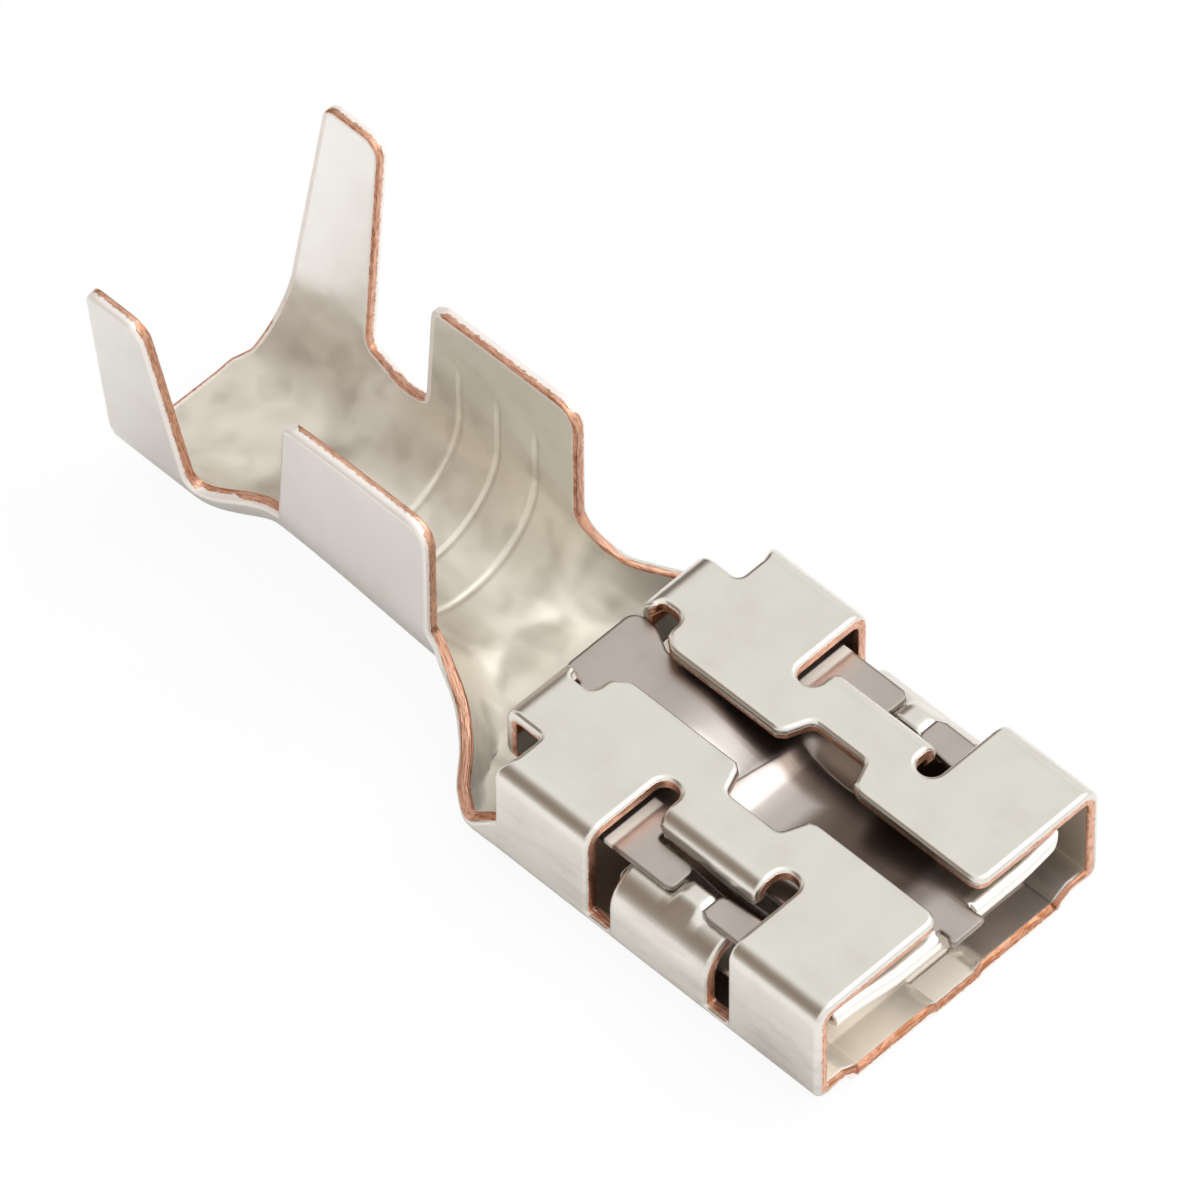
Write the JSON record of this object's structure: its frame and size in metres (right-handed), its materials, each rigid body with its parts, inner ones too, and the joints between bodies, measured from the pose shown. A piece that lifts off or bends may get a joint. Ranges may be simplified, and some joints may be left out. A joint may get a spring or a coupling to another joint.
{
  "type": "female spade connector",
  "caption": "Open crimp female spade connector: folded blade box with a steel spring insert, flared neck, serrated wire barrel and taller insulation wings.",
  "frame": {"origin": "middle of the length and width, on the plane that the lowered lip of the mouth touches", "axes": "+X towards the mouth that takes the blade, +Y across the box, +Z from the floor of the box towards its flanges"},
  "size_m": [0.0326, 0.0126, 0.011],
  "materials": {
    "tinned_copper": "satin tin plating over copper alloy, bare copper on the cut edges",
    "spring_steel": "satin rolled stainless strip"
  },
  "bodies": {
    "root": {"terminal_body": "tinned_copper", "spring_insert": "spring_steel"}
  },
  "joints": []
}
